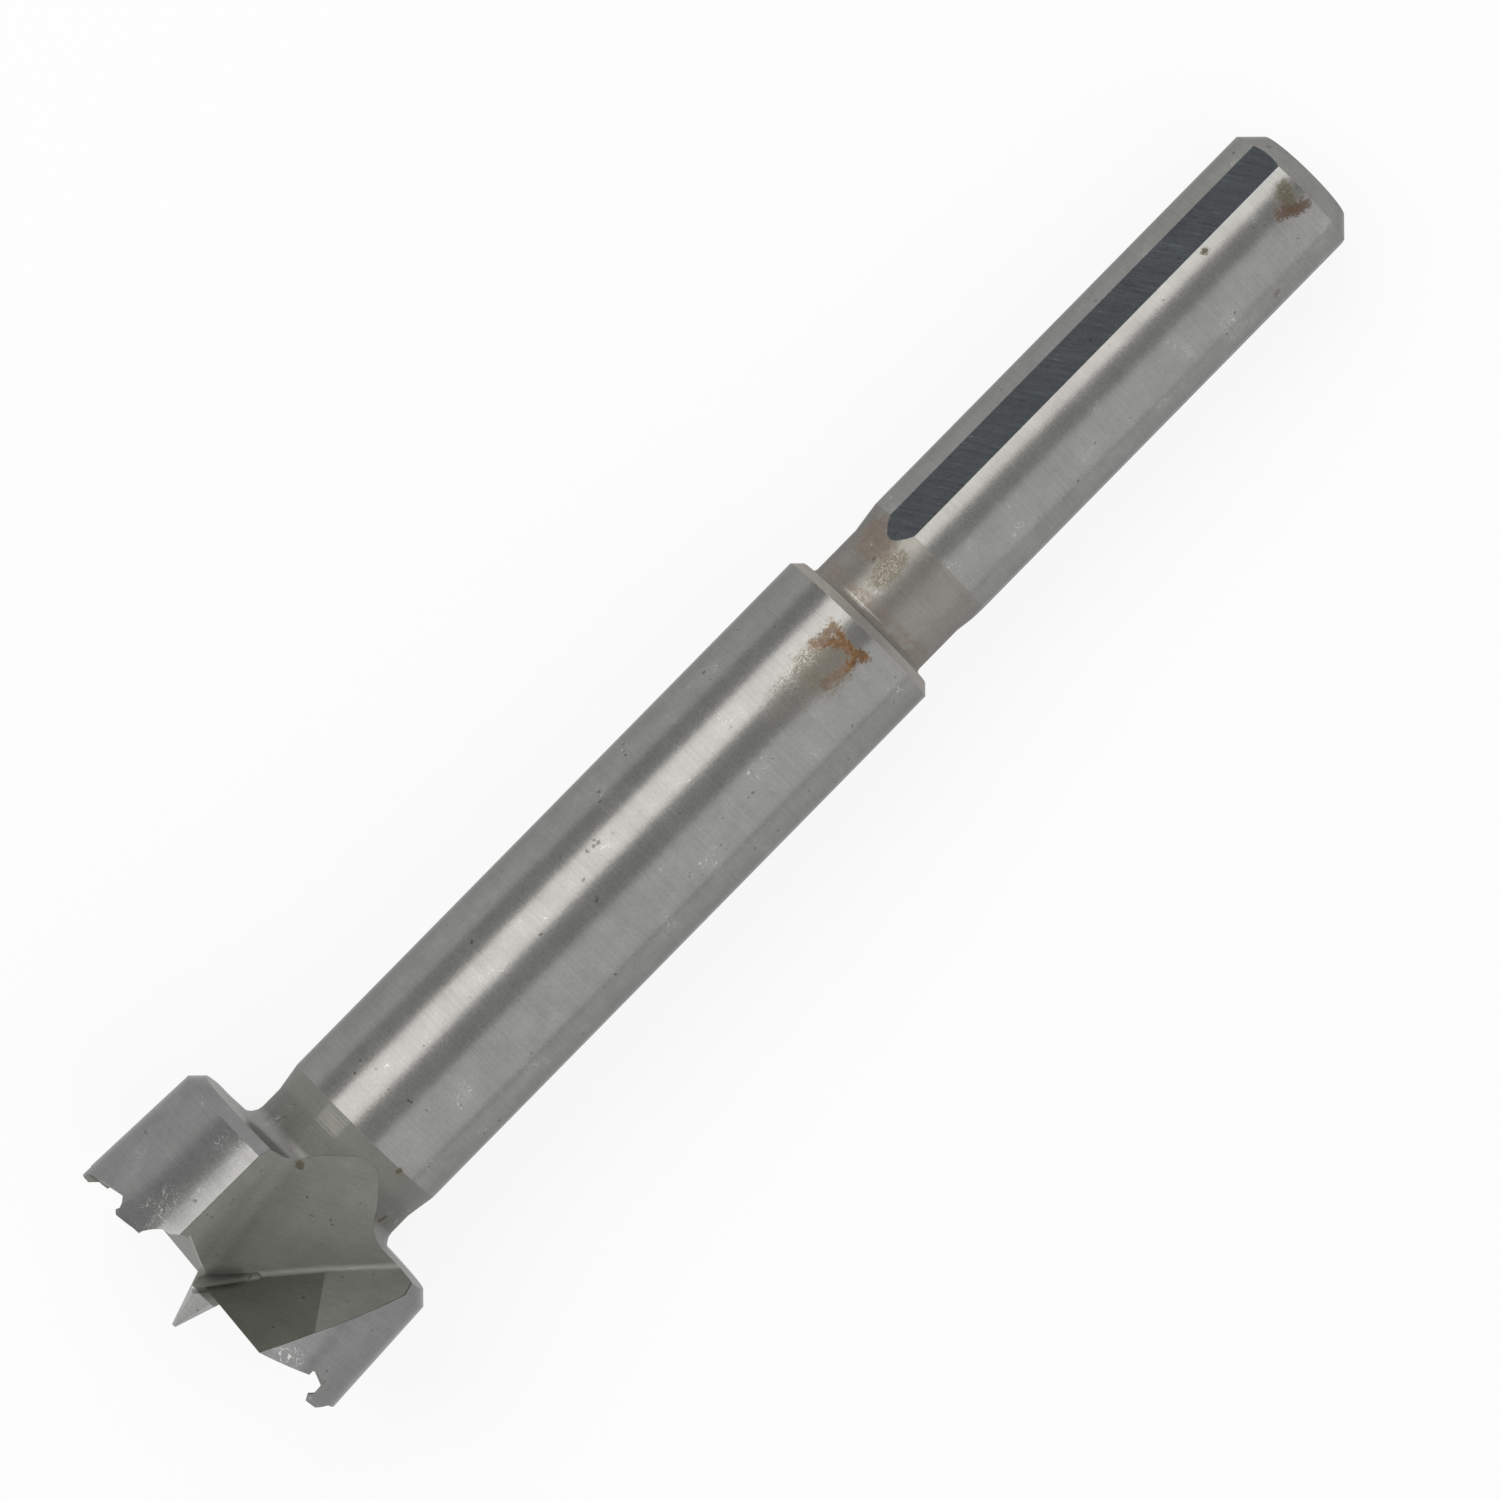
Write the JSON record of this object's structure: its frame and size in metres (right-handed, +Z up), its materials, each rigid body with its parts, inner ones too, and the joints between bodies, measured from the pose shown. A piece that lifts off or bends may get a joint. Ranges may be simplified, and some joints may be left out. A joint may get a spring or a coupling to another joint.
{
  "type": "forstner bit",
  "caption": "Forstner bit for wood: a centre point, cutting lips and a sawtooth rim on a ground steel body, with flats on its stepped-down shank.",
  "frame": {"origin": "centre of the bounding box's bottom face, on the table", "axes": "+X runs along the bit from the cutting head to the shank end, +Z is up, square to the table, and +Y completes a right-handed frame. The bit lies as it comes to rest, so its own axis drops towards the shank end by about 3 degrees."},
  "size_m": [0.085, 0.018, 0.0165],
  "materials": {
    "ground_steel": "ground tool steel, worn, with dull resharpened gash faces and a few rust stains"
  },
  "bodies": {
    "root": {"forstner_bit": "ground_steel"}
  },
  "joints": []
}
